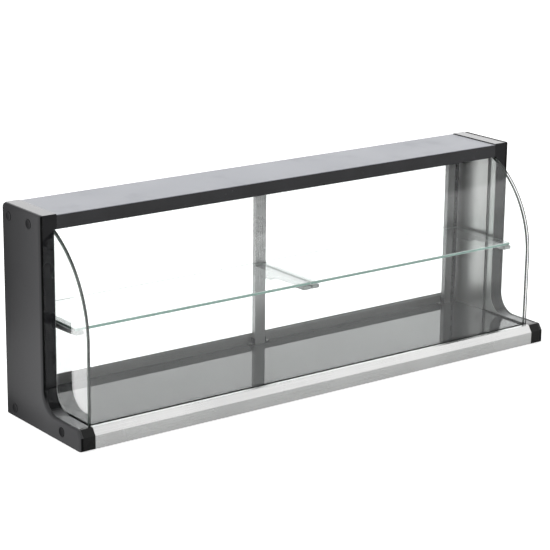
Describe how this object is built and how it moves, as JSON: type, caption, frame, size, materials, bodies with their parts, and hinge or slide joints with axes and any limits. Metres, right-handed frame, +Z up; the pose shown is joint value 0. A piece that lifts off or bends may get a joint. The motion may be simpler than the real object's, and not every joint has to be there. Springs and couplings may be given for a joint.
{
  "type": "bakery display case",
  "caption": "Countertop bakery display case with curved front glass, steel top, glass shelf and sliding rear glass doors.",
  "frame": {"origin": "centre of the footprint on the counter surface", "axes": "+X along the length to the right as the customer sees it, -Y towards the customer, +Z up"},
  "size_m": [1.22, 0.281, 0.437],
  "materials": {
    "cover_black": "satin moulded black",
    "panel_black": "high gloss black",
    "plug_black": "fine matt black",
    "stainless": "fine brushed stainless",
    "liner_steel": "bright drawn sheet",
    "rail_black": "satin black enamel",
    "deck_black": "gloss black enamel",
    "clear_glass": "clear float glass, green at the edge",
    "shelf_glass": "clear tempered glass, green at the edge",
    "door_glass": "clear tempered glass",
    "seal_black": "soft black seal",
    "rack_dark": "dark satin enamel",
    "chassis_grey": "plain powder coat",
    "foot_rubber": "moulded rubber",
    "bracket_steel": "grey satin enamel",
    "tip_clear": "pale translucent plastic",
    "pull_alloy": "dark anodised",
    "screw_zinc": "bright zinc"
  },
  "bodies": {
    "case": {"bracket_tips": "tip_clear", "center_post": "stainless", "center_shelf_bracket": "bracket_steel", "cross_ribs": "chassis_grey", "deck_panel": "deck_black", "door_buffers": "seal_black", "door_header": "stainless", "front_beam": "chassis_grey", "front_glass": "clear_glass", "front_glass_seal": "seal_black", "left_end_cover": "cover_black", "left_end_liner": "liner_steel", "left_end_panel": "panel_black", "left_nose_block": "rail_black", "left_post": "stainless", "left_screw_covers": "plug_black", "left_shelf_bracket": "bracket_steel", "left_side_glass": "clear_glass", "left_side_seal": "seal_black", "left_slotted_upright": "rack_dark", "nose_trim": "stainless", "post_feet": "rack_dark", "post_screws": "screw_zinc", "rear_beam": "chassis_grey", "rear_sill": "stainless", "right_end_cover": "cover_black", "right_end_liner": "liner_steel", "right_end_panel": "panel_black", "right_nose_block": "rail_black", "right_post": "stainless", "right_screw_covers": "plug_black", "right_shelf_bracket": "bracket_steel", "right_side_glass": "clear_glass", "right_side_seal": "seal_black", "right_slotted_upright": "rack_dark", "rubber_feet": "foot_rubber", "shelf_pads": "tip_clear", "top_front_rail": "rail_black", "top_glazing_strip": "seal_black", "top_panel": "stainless", "top_stiffeners": "chassis_grey"},
    "left_door": {"left_door_glass": "door_glass", "left_door_pull": "pull_alloy", "left_door_shoes": "seal_black"},
    "right_door": {"right_door_glass": "door_glass", "right_door_pull": "pull_alloy", "right_door_shoes": "seal_black"},
    "left_shelf": {"left_shelf_glass": "shelf_glass"},
    "right_shelf": {"right_shelf_glass": "shelf_glass"}
  },
  "joints": [
    {"name": "left_door_slide", "type": "slide", "parent": "case", "child": "left_door", "axis": [1, 0, 0], "range_m": [0, 0.55]},
    {"name": "right_door_slide", "type": "slide", "parent": "case", "child": "right_door", "axis": [1, 0, 0], "range_m": [-0.55, 0]},
    {"name": "left_shelf_lift", "type": "slide", "parent": "case", "child": "left_shelf", "axis": [0, 0, 1], "range_m": [0, 0.015]},
    {"name": "right_shelf_lift", "type": "slide", "parent": "case", "child": "right_shelf", "axis": [0, 0, 1], "range_m": [0, 0.015]}
  ]
}
